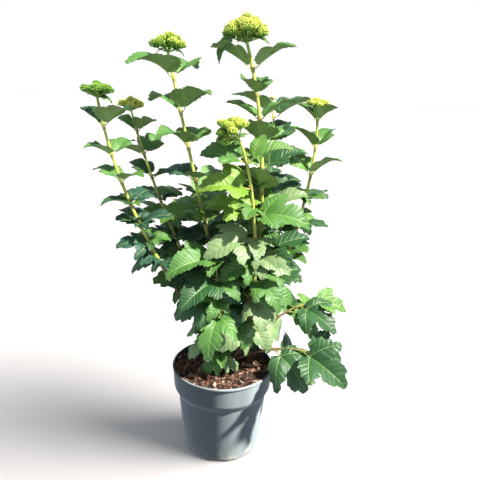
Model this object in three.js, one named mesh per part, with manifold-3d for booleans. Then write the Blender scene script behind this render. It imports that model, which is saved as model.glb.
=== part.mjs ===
// A snowball viburnum shrub growing in its nursery pot.
// Millimetres, +Z up. The origin is the centre of the pot's underside, and the pot stands on z = 0.
// The shrub is a short woody stump in the soil, one bare bough for each cane, and one leafy shoot on each
// bough: a tapering stem with crossed pairs of three-lobed leaves and, on the flowering canes, a domed head.
import * as THREE from "three";
import { mergeVertices } from "three/addons/utils/BufferGeometryUtils.js";
import Module from "manifold-3d";

const wasm = await Module();
wasm.setup();

// ---------- driving dimensions: millimetres, degrees ----------

const GAP = 0.3; // clear space kept between neighbouring pieces

const POT = {
  height: 200,
  rimRadius: 112.5,
  lipHeight: 6,
  bandRadius: 110.5, // just under the lip
  bandFootZ: 154,
  bandFootRadius: 108.8,
  shoulderZ: 136,
  shoulderRadius: 99,
  heelZ: 6,
  heelRadius: 86.5,
  baseRadius: 80,
  wall: 2.2,
  sides: 32,
};

const FOOTING = {
  notches: 8,
  turn: -5,
  width: 41,
  height: 7,
  innerRadius: 62,
  drainRadius: 5,
  drainAt: 71,
};

const SOIL = { level: 190.5, lump: 2.2, flatRadius: 34 };

const TRUNK = {
  foot: [8, 0, SOIL.level + 1],
  tip: [24, 0, 245],
  footRadius: 15,
  tipRadius: 10.5,
  flare: 4.5,
  flareHeight: 14,
  sides: 12,
};

const LEAF = {
  petiole: 0.24, // of the blade's length
  petioleRadius: 1.3,
  halfThickness: 1.0,
  cup: 0.35, // how far the edges of the blade come down again
  sizeSpread: 0.16,
  turnSpread: 26,
  pitchSpread: 18,
  rollSpread: [16, 26], // for the leaves at a shoot's tip and at its foot
};

// Half of the blade's edge from its base to its tip, along and across the midrib, as parts of its length:
// first as the small leaves near the heads have it, then as the big three-lobed leaves lower down.
const PLAIN_EDGE = [
  [0.02, 0.22],
  [0.33, 0.4],
  [0.49, 0.33],
  [0.72, 0.24],
];
const LOBED_EDGE = [
  [-0.04, 0.26],
  [0.42, 0.58],
  [0.49, 0.3],
  [0.73, 0.29],
];
const MIDRIB_STATIONS = [0.26, 0.62];

// The ways in which a crowded leaf may make room: a turn about the stem and a share of its full length.
const LEAF_CHOICES = [
  [0, 1],
  [16, 1],
  [-16, 1],
  [30, 0.9],
  [-30, 0.9],
  [0, 0.75],
  [24, 0.7],
  [-24, 0.7],
  [45, 0.7],
  [-45, 0.7],
];

// A head's knots of buds sit on rays in two rings of a dome, measured in parts of the head's size.
const HEAD = {
  rings: [
    { knots: 6, out: 0.41, up: 0.26, radius: 0.195 },
    { knots: 3, out: 0.17, up: 0.47, radius: 0.165 },
  ],
  knotFlatness: 0.8,
  rayRadius: 1.1,
  hubRadius: 3.2,
  bud: 36, // a head smaller than this is a tight bud of a few knots without rays
};

// What the leaves of a shoot share unless the shoot says otherwise, as [at its tip, at its foot]: the pitch
// at which they leave the stem, how far they bend over, the fold of their halves, how lobed they are, and
// how far their upper sides turn from straight up to the sunny front.
const HABIT = {
  pitch: [42, 14],
  bend: [30, 62],
  fold: [0.7, 0.28],
  lobing: [0.3, 1],
  sunny: [0.02, 0.42],
  cross: 90, // the turn between one pair and the next, back and forth
  follow: 0.5, // how far the leaves lean the way the shoot grows
  tilt: [0, 0], // of the head
  head: 0,
};

// One line of growth: the route is where it starts, the two handles that bend it, and its tip. Then come
// its radii at foot and tip and the share of it that is bare bough, the number of leaf pairs, how far
// below the tip the first one sits, the steps between pairs near the tip and near the foot, the direction of
// the first pair, the blade's length near the tip and near the foot, and the size of the flower head.
const SHOOTS = {
  centre: [
    {
      seed: 453,
      route: [[25, -5, 236], [66, -34, 360], [103, -18, 655], [33, -6, 880]],
      radii: [5.2, 2.4], bare: 0.1,
      pairs: 11, neck: 54, steps: [47, 46], turn: 176, cross: 76,
      blade: [56, 104], pitch: [37, 45], bend: [23, 38],
      head: 82,
    },
  ],
  left_tall: [
    {
      seed: 488,
      route: [[15, 0, 238], [-24, 11, 447], [-74, 16, 650], [-118, 22, 858]],
      radii: [4.6, 2.2], bare: 0.15,
      pairs: 8, neck: 50, steps: [68, 69], turn: 69, cross: 71,
      blade: [83, 97], pitch: [42, 17], bend: [50, 62],
      head: 56,
    },
  ],
  right: [
    {
      seed: 428,
      route: [[25, 2, 231], [141, 39, 377], [199, 68, 634], [187, 84, 752]],
      radii: [4.6, 2.0], bare: 0.42,
      pairs: 6, neck: 21, steps: [57, 57], turn: 130,
      blade: [67, 60], pitch: [49, 25], bend: [26, 44],
      head: 34,
    },
  ],
  far_left: [
    {
      seed: 341,
      route: [[9, -3, 224], [-84, -42, 347], [-204, -80, 571], [-222, -112, 773]],
      radii: [4.6, 2.0], bare: 0.36,
      pairs: 7, neck: 53, steps: [53, 41], turn: -30,
      blade: [49, 65], pitch: [42, 34], bend: [25, 82],
      head: 48,
    },
  ],
  left: [
    {
      seed: 51,
      route: [[12, 4, 232], [-81, 49, 400], [-160, 70, 563], [-210, 98, 744]],
      radii: [4.4, 2.0], bare: 0.22,
      pairs: 8, neck: 47, steps: [52, 45], turn: 151,
      blade: [60, 76], pitch: [36, 23], bend: [19, 40],
      head: 40,
    },
  ],
  back: [
    {
      seed: 100,
      route: [[22, 6, 236], [59, 75, 409], [122, 119, 571], [95, 168, 774]],
      radii: [4.0, 1.6], bare: 0.2,
      pairs: 7, neck: 45, steps: [58, 77], turn: 2, cross: 40,
      blade: [78, 100], pitch: [45, 23], bend: [35, 46],
      head: 14,
    },
  ],
  front_left: [
    {
      seed: 590,
      route: [[16, -6, 227], [8, -42, 290], [-12, -70, 380], [-14, -72, 470]],
      radii: [3.6, 2.0], bare: 0.26,
      pairs: 4, neck: 2, steps: [45, 33], turn: 20, cross: 48,
      blade: [92, 89], pitch: [14, -4], bend: [60, 84], sunny: [0.4, 0.8],
    },
  ],
  front_right: [
    {
      seed: 249,
      route: [[21, -7, 219], [86, -45, 282], [68, -80, 632], [23, -90, 708]],
      radii: [4.2, 2.1], bare: 0.19,
      pairs: 8, neck: 48, steps: [52, 49], turn: -8, cross: 26,
      blade: [78, 112], pitch: [26, -8], bend: [44, 80], lobing: [0.6, 1], sunny: [0.5, 1.2],
      head: 46, tilt: [-50, 8],
    },
  ],
  back_left: [
    {
      seed: 70,
      route: [[14, 7, 220], [-8, 70, 310], [-50, 128, 420], [-52, 136, 540]],
      radii: [3.8, 2.0], bare: 0.24,
      pairs: 6, neck: 13, steps: [49, 48], turn: 79, cross: 78,
      blade: [104, 96], pitch: [47, 2], bend: [21, 50],
    },
  ],
  back_right: [
    {
      seed: 286,
      route: [[23, 6, 222], [70, 52, 300], [140, 96, 380], [142, 100, 500]],
      radii: [3.8, 2.0], bare: 0.26,
      pairs: 4, neck: 22, steps: [57, 49], turn: 17, cross: 79,
      blade: [54, 83], pitch: [35, 14], bend: [28, 62],
    },
  ],
  back_low: [
    {
      seed: 562,
      route: [[16, 7, 206], [24, 50, 262], [26, 104, 320], [28, 118, 392]],
      radii: [3.4, 2.0], bare: 0.3,
      pairs: 3, neck: 26, steps: [52, 50], turn: 162, cross: 72,
      blade: [95, 106], pitch: [40, -11], bend: [19, 68],
    },
  ],
  right_low: [
    {
      seed: 596,
      route: [[20, -2, 213], [64, -12, 258], [112, 10, 330], [200, 14, 348]],
      radii: [3.2, 1.8], bare: 0.35,
      pairs: 3, neck: 5, steps: [30, 32], turn: 0, cross: 61,
      blade: [63, 91], pitch: [-10, -2], bend: [27, 60], lobing: [0.9, 1], sunny: [0.6, 0.6], follow: 1.1,
    },
  ],
  right_foot: [
    {
      seed: 318,
      route: [[16, -5, 203], [70, -22, 246], [130, -38, 268], [192, -58, 262]],
      radii: [3.2, 1.9], bare: 0.4,
      pairs: 2, neck: 24, steps: [61, 61], turn: 0, cross: 110,
      blade: [92, 102], pitch: [-15, -24], bend: [38, 70], lobing: [1, 1], sunny: [1.4, 1.0], follow: 1,
    },
  ],
  left_low: [
    {
      seed: 451,
      route: [[7, -6, 210], [-10, -28, 262], [-28, -38, 310], [-48, -40, 352]],
      radii: [3.0, 1.7], bare: 0.4,
      pairs: 3, neck: 5, steps: [44, 33], turn: 7, cross: 85,
      blade: [54, 62], pitch: [12, -14], bend: [34, 59], lobing: [0.9, 1],
    },
  ],
  front_low: [
    {
      seed: 84,
      route: [[10, -7, 202], [6, -24, 218], [-6, -34, 236], [-12, -40, 254]],
      radii: [2.4, 1.4], bare: 0.3,
      pairs: 2, neck: 3, steps: [24, 24], turn: 130,
      blade: [42, 46], pitch: [1, -30], bend: [30, 62], lobing: [0.9, 1],
    },
  ],
};

const shoots = Object.entries(SHOOTS).map(([name, growth]) => [
  name,
  growth.map((shoot) => ({ ...HABIT, ...shoot })),
]);

// ---------- small helpers ----------

const rad = THREE.MathUtils.degToRad;
const mix = THREE.MathUtils.lerp;
const point = (p) => new THREE.Vector3(...p);

// A number from 0 to 1 that depends only on the shoot's seed and on a running count.
function chance(seed, count) {
  const wave = Math.sin(seed * 127.1 + count * 311.7) * 43758.5453;
  return wave - Math.floor(wave);
}

const spread = (seed, count, width) => (chance(seed, count) - 0.5) * width;

// The closed surface of a three.js geometry as a solid that can be joined and cut.
function solid(geometry) {
  const bare = new THREE.BufferGeometry();
  bare.setAttribute("position", geometry.getAttribute("position"));
  bare.setIndex(geometry.index);
  const merged = mergeVertices(bare, 1e-4);
  return new wasm.Manifold(
    new wasm.Mesh({
      numProp: 3,
      vertProperties: new Float32Array(merged.attributes.position.array),
      triVerts: new Uint32Array(merged.index.array),
    }),
  );
}

// The largest body of a solid: cutting and joining can leave loose scraps and sealed hollows behind.
function mainBody(made) {
  const bodies = made.decompose();
  return bodies.reduce((best, body) => (body.volume() > best.volume() ? body : best));
}

function namedMesh(name, made, material) {
  const { vertProperties, triVerts } = made.getMesh();
  const geometry = new THREE.BufferGeometry();
  geometry.setAttribute("position", new THREE.BufferAttribute(vertProperties, 3));
  geometry.setIndex(new THREE.BufferAttribute(triVerts, 1));
  geometry.computeVertexNormals();
  const mesh = new THREE.Mesh(geometry, material);
  mesh.name = name;
  return mesh;
}

// Two directions square to a curve that turn with it without twisting. On an upright stem they are +X and +Y.
function frameAt(curve, share) {
  const along = curve.getTangentAt(share);
  const across = new THREE.Vector3(0, 1, 0.2).cross(along).normalize();
  return { along, across, beside: along.clone().cross(across) };
}

// A round tapering limb: a closed cylinder bent along part of a curve.
function limb(curve, from, to, radiusAt, sides, segments) {
  const geometry = new THREE.CylinderGeometry(1, 1, 1, sides, segments);
  const position = geometry.getAttribute("position");
  for (let i = 0; i < position.count; i++) {
    const share = mix(from, to, position.getY(i) + 0.5);
    const { across, beside } = frameAt(curve, share);
    const radius = radiusAt(share);
    const place = curve
      .getPointAt(share)
      .addScaledVector(across, position.getX(i) * radius)
      .addScaledVector(beside, -position.getZ(i) * radius);
    position.setXYZ(i, place.x, place.y, place.z);
  }
  return solid(geometry);
}

// ---------- pot and soil ----------

// The pot's outer profile from the axis to the top of the lip, drawn `inset` inside the real surface.
function potProfile(inset) {
  const p = POT;
  return [
    [0, inset],
    [p.baseRadius, inset],
    [p.heelRadius - 1.6 - inset * 0.9, Math.max(inset, 2)],
    [p.heelRadius - inset, p.heelZ],
    [p.shoulderRadius - inset, p.shoulderZ],
    [p.bandFootRadius - 1.2 - inset, p.bandFootZ - 4],
    [p.bandFootRadius - inset, p.bandFootZ],
    [p.bandRadius - inset, p.height - p.lipHeight],
  ];
}

function lathe(profile) {
  return new THREE.LatheGeometry(
    profile.map(([r, z]) => new THREE.Vector2(r, z)),
    POT.sides,
  ).rotateX(Math.PI / 2);
}

// The raised pockets between the feet, from `inner` outwards, `grow` larger all round.
function notchPockets(grow) {
  const reach = POT.rimRadius - FOOTING.innerRadius + grow;
  const blocks = [];
  for (let i = 0; i < FOOTING.notches; i++) {
    const block = new THREE.BoxGeometry(reach, FOOTING.width + 2 * grow, FOOTING.height + 10 + grow);
    block.translate(FOOTING.innerRadius - grow + reach / 2, 0, (FOOTING.height - 10 + grow) / 2);
    block.rotateZ(rad(FOOTING.turn + (i * 360) / FOOTING.notches));
    blocks.push(solid(block));
  }
  return wasm.Manifold.union(blocks);
}

function drainHoles() {
  const holes = [];
  for (let i = 0; i < FOOTING.notches; i++) {
    const hole = new THREE.CylinderGeometry(FOOTING.drainRadius, FOOTING.drainRadius, 30, 12);
    hole.rotateX(Math.PI / 2).translate(FOOTING.drainAt, 0, 0);
    hole.rotateZ(rad(FOOTING.turn + (i * 360) / FOOTING.notches));
    holes.push(solid(hole));
  }
  return wasm.Manifold.union(holes);
}

function makePot() {
  const p = POT;
  const lip = [
    [p.rimRadius, p.height - p.lipHeight + 1.5],
    [p.rimRadius, p.height - 1.2],
    [p.rimRadius - 1.4, p.height],
    [0, p.height],
  ];
  const outer = solid(lathe([...potProfile(0), ...lip]));
  const bore = [p.bandRadius - p.wall, p.height + 1];
  const inner = solid(lathe([...potProfile(p.wall), bore, [0, p.height + 1]]));
  const room = inner.subtract(notchPockets(p.wall));
  return mainBody(outer.subtract(room).subtract(notchPockets(0)).subtract(drainHoles()));
}

// The soil fills the pot to a lumpy surface that is level round the trunk.
function makeSoil() {
  const inset = POT.wall + GAP;
  const rise = (SOIL.level - POT.bandFootZ) / (POT.height - POT.lipHeight - POT.bandFootZ);
  const edge = mix(POT.bandFootRadius, POT.bandRadius, rise) - inset;
  const top = [1, 0.84, 0.66, 0.48, 0.3, 0].map((share) => [edge * share, SOIL.level]);
  const geometry = lathe([...potProfile(inset).slice(0, -1), ...top]);
  const position = geometry.getAttribute("position");
  for (let i = 0; i < position.count; i++) {
    if (position.getZ(i) < SOIL.level - 1) continue;
    position.setZ(i, SOIL.level + soilLump(position.getX(i), position.getY(i)));
  }
  return mainBody(solid(geometry).subtract(notchPockets(inset)));
}

function soilLump(x, y) {
  const fromTrunk = Math.hypot(x - TRUNK.foot[0], y - TRUNK.foot[1]);
  const ease = THREE.MathUtils.smoothstep(fromTrunk, SOIL.flatRadius * 0.7, SOIL.flatRadius * 1.6);
  const waves = Math.sin(x * 0.071 + 1.3) * Math.cos(y * 0.083) + 0.6 * Math.sin(x * 0.19 - y * 0.17);
  return ease * SOIL.lump * waves;
}

// ---------- trunk and boughs ----------

const trunkCurve = new THREE.QuadraticBezierCurve3(
  point(TRUNK.foot),
  new THREE.Vector3(11, 0, 222),
  point(TRUNK.tip),
);

function trunkRadius(share) {
  const height = share * (TRUNK.tip[2] - TRUNK.foot[2]);
  const flare = TRUNK.flare * Math.exp((-3 * height) / TRUNK.flareHeight);
  const shoulder = share > 0.9 ? 0.86 : 1;
  return (mix(TRUNK.footRadius, TRUNK.tipRadius, share) + flare) * shoulder;
}

// The trunk with a flat foot at ground level, `grow` larger all round.
function makeTrunk(grow) {
  const made = limb(trunkCurve, 0, 1, (s) => trunkRadius(s) + grow, TRUNK.sides, 7);
  if (grow) return made.add(made.translate([0.1, 0, grow]));
  return made.trimByPlane([0, 0, 1], TRUNK.foot[2]);
}

const shootCurve = (shoot) => new THREE.CubicBezierCurve3(...shoot.route.map(point));
const shootRadius = (shoot, grow = 0) => (share) => mix(...shoot.radii, share) + grow;

// Each bough is cut clear of the trunk and of the boughs made before it.
function makeBoughs() {
  const trunkRoom = makeTrunk(GAP);
  const boughs = new Map();
  let room = trunkRoom;
  for (const [name, [shoot]] of shoots) {
    const curve = shootCurve(shoot);
    const made = limb(curve, 0, shoot.bare, shootRadius(shoot), 6, 4);
    boughs.set(name, mainBody(made.subtract(room)));
    const end = shoot.bare + GAP / curve.getLength();
    room = room.add(limb(curve, 0, end, shootRadius(shoot, 1.3 * GAP), 6, 4));
  }
  return boughs;
}

// ---------- leaves and heads ----------

// Where a point of the blade lies once it is folded on its midrib and bent over, in the leaf's own axes.
function bladePoint(leaf, x, y, lift) {
  const turn = Math.max(leaf.bend * x, 1e-3);
  const reach = x > 0 ? (Math.sin(turn) / turn) * x : x;
  const sag = x > 0 ? ((1 - Math.cos(turn)) / turn) * x : 0;
  const rise = leaf.fold * Math.abs(y) - LEAF.cup * y * y;
  return new THREE.Vector3(reach * leaf.length, y * leaf.length, (rise - sag) * leaf.length + lift);
}

// A closed thin blade with a three-sided stalk. The edge runs from the stalk's left corner round the tip to
// its right corner; the upper and lower sides share it and part along the midrib.
function leafSolid(leaf) {
  const stalk = LEAF.petioleRadius;
  const half = PLAIN_EDGE.map(([x, y], i) => [
    mix(x, LOBED_EDGE[i][0], leaf.lobing),
    mix(y, LOBED_EDGE[i][1], leaf.lobing),
  ]);
  half.unshift([0, stalk / leaf.length]);
  const mirrored = half.map(([x, y]) => [x, -y]).reverse();
  const edge = [...half, [1, 0], ...mirrored].map(([x, y]) => bladePoint(leaf, x, y, 0));
  const upper = [0, ...MIDRIB_STATIONS].map((x) => bladePoint(leaf, x, 0, LEAF.halfThickness));
  const lower = [0, ...MIDRIB_STATIONS].map((x) => bladePoint(leaf, x, 0, -LEAF.halfThickness));
  const start = -LEAF.petiole * leaf.length;
  const root = [
    new THREE.Vector3(start, 0, stalk),
    new THREE.Vector3(start, stalk, -stalk),
    new THREE.Vector3(start, -stalk, -stalk),
  ];
  const last = edge.length - 1; // the right corner; the tip is half way
  const tip = last / 2;
  const [top, bottom, heel] = [edge.length, edge.length + 3, edge.length + 6];
  const halfFaces = (mid) => [
    [0, mid, 1], [1, mid, mid + 1], [1, mid + 1, 2], [2, mid + 1, 3],
    [3, mid + 1, mid + 2], [3, mid + 2, 4], [4, mid + 2, tip],
  ];
  const mirror = (face) => face.map((corner) => (corner > last ? corner : last - corner)).reverse();
  const turnOver = (face) => [...face].reverse();
  const faces = [
    ...halfFaces(top), ...halfFaces(top).map(mirror),
    ...halfFaces(bottom).map(turnOver), ...halfFaces(bottom).map(mirror).map(turnOver),
    [heel, top, 0], [heel, 0, heel + 1], [heel, last, top], [heel, heel + 2, last],
    [heel + 1, 0, bottom], [heel + 1, bottom, heel + 2], [heel + 2, bottom, last],
    [heel, heel + 1, heel + 2],
  ];
  const geometry = new THREE.BufferGeometry().setFromPoints([...edge, ...upper, ...lower, ...root]);
  geometry.setIndex(faces.flat());
  geometry.applyMatrix4(
    new THREE.Matrix4().makeBasis(leaf.ahead, leaf.aside, leaf.up).setPosition(leaf.base),
  );
  return solid(geometry);
}

// How far below the shoot's tip a pair of leaves sits.
function pairDepth(shoot, pair) {
  const last = Math.max(shoot.pairs - 1, 1);
  let depth = shoot.neck;
  for (let i = 0; i < pair; i++) depth += mix(...shoot.steps, i / last);
  return depth;
}

// The leaf on one side of one pair, with one way of making room.
function leafOf(shoot, curve, pair, side, [extraTurn, share]) {
  const at = 1 - pairDepth(shoot, pair) / curve.getLength();
  const down = pair / Math.max(shoot.pairs - 1, 1);
  const count = pair * 2 + side;
  const vary = (kind, width) => spread(shoot.seed, count + 100 * kind, width);
  const { along, across, beside } = frameAt(curve, at);
  const turn = rad(
    shoot.turn + (pair % 2) * shoot.cross + side * 180 + extraTurn + vary(0, LEAF.turnSpread),
  );
  const out = across.multiplyScalar(Math.cos(turn)).addScaledVector(beside, Math.sin(turn));
  const level = out.addScaledVector(along, shoot.follow).setZ(0).normalize();
  const pitch = rad(mix(...shoot.pitch, down) + vary(1, LEAF.pitchSpread));
  const ahead = level.multiplyScalar(Math.cos(pitch)).setZ(Math.sin(pitch));
  const sunny = new THREE.Vector3(0.1, -mix(...shoot.sunny, down), 1);
  const aside = sunny.cross(ahead).normalize();
  aside.applyAxisAngle(ahead, rad(vary(2, mix(...LEAF.rollSpread, down))));
  const length = mix(...shoot.blade, down) * share * (1 + vary(3, LEAF.sizeSpread));
  return {
    base: curve.getPointAt(at).addScaledVector(ahead, LEAF.petiole * length),
    ahead,
    aside,
    up: ahead.clone().cross(aside),
    length,
    bend: rad(mix(...shoot.bend, down)),
    fold: mix(...shoot.fold, down),
    lobing: mix(...shoot.lobing, down),
  };
}

// A strut of three sides between two points.
function strut(from, to, radius) {
  return limb(new THREE.LineCurve3(from, to), 0, 1, () => radius, 3, 1);
}

// A domed head: rays leave a small hub at the tip of the stem, and each ends in a knot of buds.
function headSolids(shoot, curve) {
  const hub = curve.getPointAt(1);
  const [lean, swing] = shoot.tilt.map(rad);
  const tilt = new THREE.Euler(swing, lean, 0);
  if (shoot.head < HEAD.bud) {
    return [0, 1, 2].map((i) => {
      const reach = new THREE.Vector3(Math.cos(2.1 * i), Math.sin(2.1 * i), 0.4 + 0.3 * i);
      return ball(reach.multiplyScalar(shoot.head * 0.26).add(hub), shoot.head * 0.28, 1, i);
    });
  }
  const made = [ball(hub, HEAD.hubRadius, 1, 0)];
  HEAD.rings.forEach((ring, r) => {
    for (let i = 0; i < ring.knots; i++) {
      const angle = ((i + 0.5 * r) * 2 * Math.PI) / ring.knots + shoot.seed;
      const size = shoot.head * (1 + spread(shoot.seed, 400 + 10 * r + i, 0.14));
      const reach = new THREE.Vector3(Math.cos(angle) * ring.out, Math.sin(angle) * ring.out, ring.up);
      const centre = reach.multiplyScalar(size).applyEuler(tilt).add(hub);
      made.push(ball(centre, shoot.head * ring.radius, HEAD.knotFlatness, angle));
      made.push(strut(hub, centre, HEAD.rayRadius));
    }
  });
  return made;
}

// A rough ball of twenty faces.
function ball(centre, radius, flatness, turn) {
  const geometry = new THREE.IcosahedronGeometry(radius, 0);
  geometry.scale(1, 1, flatness).rotateZ(turn).translate(centre.x, centre.y, centre.z);
  return solid(geometry);
}

// ---------- leafy shoots ----------

// Stems and heads come first for every mass, so that leaves can then keep clear of them all.
function makeMasses(fixed) {
  const masses = new Map();
  const taken = fixed.map((made) => ({ name: "", made, box: made.boundingBox() }));
  const keep = (name, made) => {
    masses.get(name).push(made);
    taken.push({ name, made, box: made.boundingBox() });
  };
  for (const [name, growth] of shoots) {
    masses.set(name, []);
    for (const shoot of growth) {
      const curve = shootCurve(shoot);
      const start = shoot.bare ? shoot.bare + GAP / curve.getLength() : 0;
      keep(name, limb(curve, start, 1, shootRadius(shoot), 5, 7));
      if (shoot.head) headSolids(shoot, curve).forEach((made) => keep(name, made));
    }
  }
  for (const [name, growth] of shoots) {
    for (const shoot of growth) {
      const curve = shootCurve(shoot);
      for (let i = 0; i < shoot.pairs * 2; i++) {
        const others = taken.filter((other) => other.name !== name);
        const made = roomyLeaf(shoot, curve, i >> 1, i & 1, others);
        if (made) keep(name, made);
      }
    }
  }
  return masses;
}

// The first way of placing a leaf that keeps clear of everything outside its own mass, if there is one.
function roomyLeaf(shoot, curve, pair, side, others) {
  for (const choice of LEAF_CHOICES) {
    const made = leafSolid(leafOf(shoot, curve, pair, side, choice));
    const box = made.boundingBox();
    const close = others.filter((other) => boxesMeet(box, other.box, 1));
    if (box.min[2] > 2 && close.every((other) => made.minGap(other.made, 1) > GAP)) return made;
  }
  return null;
}

function boxesMeet(a, b, margin) {
  return [0, 1, 2].every((k) => a.min[k] - margin < b.max[k] && b.min[k] - margin < a.max[k]);
}

// ---------- the whole plant ----------

const COLOUR = {
  pot: new THREE.MeshStandardMaterial({ color: 0x5b6673, roughness: 0.55, metalness: 0 }),
  soil: new THREE.MeshStandardMaterial({ color: 0x3a2a24, roughness: 0.95, metalness: 0 }),
  bark: new THREE.MeshStandardMaterial({ color: 0x5d4a3a, roughness: 0.85, metalness: 0 }),
  foliage: new THREE.MeshStandardMaterial({ color: 0x4f8a34, roughness: 0.6, metalness: 0 }),
};

const plant = new THREE.Group();
const pot = makePot();
const soil = makeSoil();
const trunk = makeTrunk(0);
const boughs = makeBoughs();
const masses = makeMasses([pot, soil, trunk, ...boughs.values()]);

plant.add(namedMesh("pot", pot, COLOUR.pot));
plant.add(namedMesh("soil", soil, COLOUR.soil));
plant.add(namedMesh("trunk", trunk, COLOUR.bark));
for (const [name, made] of boughs) {
  plant.add(namedMesh("bough_" + name, made, COLOUR.bark));
}
for (const [name, parts] of masses) {
  plant.add(namedMesh("mass_" + name, mainBody(wasm.Manifold.union(parts)), COLOUR.foliage));
}

export default plant;
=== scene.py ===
"""Dresses the packed snowball viburnum: bark, stems, leaves, heads, pot and soil, with light and camera.

Lengths are in millimetres until a piece is made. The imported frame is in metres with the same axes: the origin
is the centre of the pot's underside, and +Z is up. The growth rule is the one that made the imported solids.
"""

from math import comb, cos, hypot, pi, radians, sin, sqrt
from types import SimpleNamespace as Values

import bmesh
import bpy
import numpy as np
from mathutils import Matrix, Vector


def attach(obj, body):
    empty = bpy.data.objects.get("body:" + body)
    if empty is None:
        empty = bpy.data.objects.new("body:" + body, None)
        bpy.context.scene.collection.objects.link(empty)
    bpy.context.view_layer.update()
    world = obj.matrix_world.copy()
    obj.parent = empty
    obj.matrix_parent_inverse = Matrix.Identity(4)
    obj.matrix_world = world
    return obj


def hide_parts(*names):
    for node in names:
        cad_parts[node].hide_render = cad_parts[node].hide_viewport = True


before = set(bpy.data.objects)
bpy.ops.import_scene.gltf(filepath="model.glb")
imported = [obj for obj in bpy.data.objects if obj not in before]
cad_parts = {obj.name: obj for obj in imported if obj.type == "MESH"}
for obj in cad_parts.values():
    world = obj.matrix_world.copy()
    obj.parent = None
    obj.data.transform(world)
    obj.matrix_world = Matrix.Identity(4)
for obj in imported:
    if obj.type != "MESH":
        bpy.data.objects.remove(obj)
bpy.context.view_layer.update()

MM = 0.001
UP = np.array([0.0, 0.0, 1.0])
rng = np.random.default_rng(29)

# --- the camera ---


def new_object(name, data):
    made = bpy.data.objects.new(name, data)
    bpy.context.scene.collection.objects.link(made)
    return made


CAMERA = Values(place=(0.0315, -1.008, 0.788), down=16.5, roll=1.62, lens=37.5)


def make_camera():
    data = bpy.data.cameras.new("camera")
    data.lens = CAMERA.lens
    data.clip_start, data.clip_end = 0.02, 200
    camera = new_object("camera", data)
    turn = Matrix.Rotation(radians(90 - CAMERA.down), 4, "X")
    roll = Matrix.Rotation(radians(CAMERA.roll), 4, "Z")
    camera.matrix_world = Matrix.Translation(CAMERA.place) @ turn @ roll
    bpy.context.scene.camera = camera


make_camera()

# --- driving dimensions: millimetres, degrees ---

POT = Values(
    height=200, rim=112.5, lip=6, band=110.5, band_foot_z=154, band_foot=108.8,
    shoulder_z=136, shoulder=99, heel_z=6, heel=86.5, base=80, wall=2.2, sides=192,
)
FOOTING = Values(notches=8, turn=-5, width=41, height=7, inner=62, drain=5, drain_at=71)
SOIL = Values(level=190.5, lump=2.2, flat=34)
TRUNK = Values(
    foot=(8, 0, 191.5), control=(11, 0, 222), tip=(24, 0, 245),
    foot_radius=15, tip_radius=10.5, flare=4.5, flare_height=14,
)

LEAF = Values(
    petiole=0.24, cup=0.35, size_spread=0.16, turn_spread=26, pitch_spread=18, roll_spread=(16, 26),
    thickness=0.4, rib_extra=0.4,
)
# How leaves differ beyond their solids, in parts of a leaf's length or, for phase and twist, in radians.
LEAF_PLAY = dict(
    hang=(0.5, 1.3), curl=(0, 0.9), wave=(0.008, 0.022), phase=(0, 6),
    pleat=(0.011, 0.02), swing=(-0.1, 0.1), twist=(-0.35, 0.35),
)
# The further turn and the share of its length that a leaf takes where another is in its way.
LEAF_CHOICES = [
    (0, 1), (16, 1), (-16, 1), (30, 0.9), (-30, 0.9),
    (0, 0.75), (24, 0.7), (-24, 0.7), (45, 0.7), (-45, 0.7),
]
# Smaller leaves in the axils of crowded shoots, up to a height above the ground.
FURTHER = Values(top=600, pairs=4, size=(0.42, 0.72), turn=78, turn_spread=40, fold=0.4, drop=(-12, -2))
STEM = Values(sides=12, over=1.08, ridge=0.05, swell=0.32, swell_reach=3.2, node_reach=5.5, cane_top=560)

# A head's knots of buds sit on rays in rings of a dome: how many and, in parts of the head's size, how far
# out and up, and their radius. The fill is in the dressed head only.
HEAD_RINGS = [(6, 0.41, 0.26, 0.175), (3, 0.17, 0.47, 0.165)]
FILL_RINGS = [(5, 0.27, 0.4, 0.15), (1, 0.0, 0.56, 0.14), (4, 0.2, 0.24, 0.11)]
BUD_HEAD = 30  # a head smaller than this is a tight bud of three knots without rays
KNOT = Values(density=2.3, fewest=14, lowest=-0.45, depth=(0.68, 1.0), bud=(0.7, 1.15), ripe=(0.28, 0.58))

# What a shoot has where its row says nothing else. A pair of values is for its tip and for its foot, but the
# radii go from foot to tip, and the tilt leans a head and swings it.
HABIT = dict(
    pitch=(42, 14), bend=(30, 62), fold=(0.7, 0.28), lobing=(0.3, 1), sunny=(0.02, 0.42),
    cross=90, follow=0.5, tilt=(0, 0), head=0,
)

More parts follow.
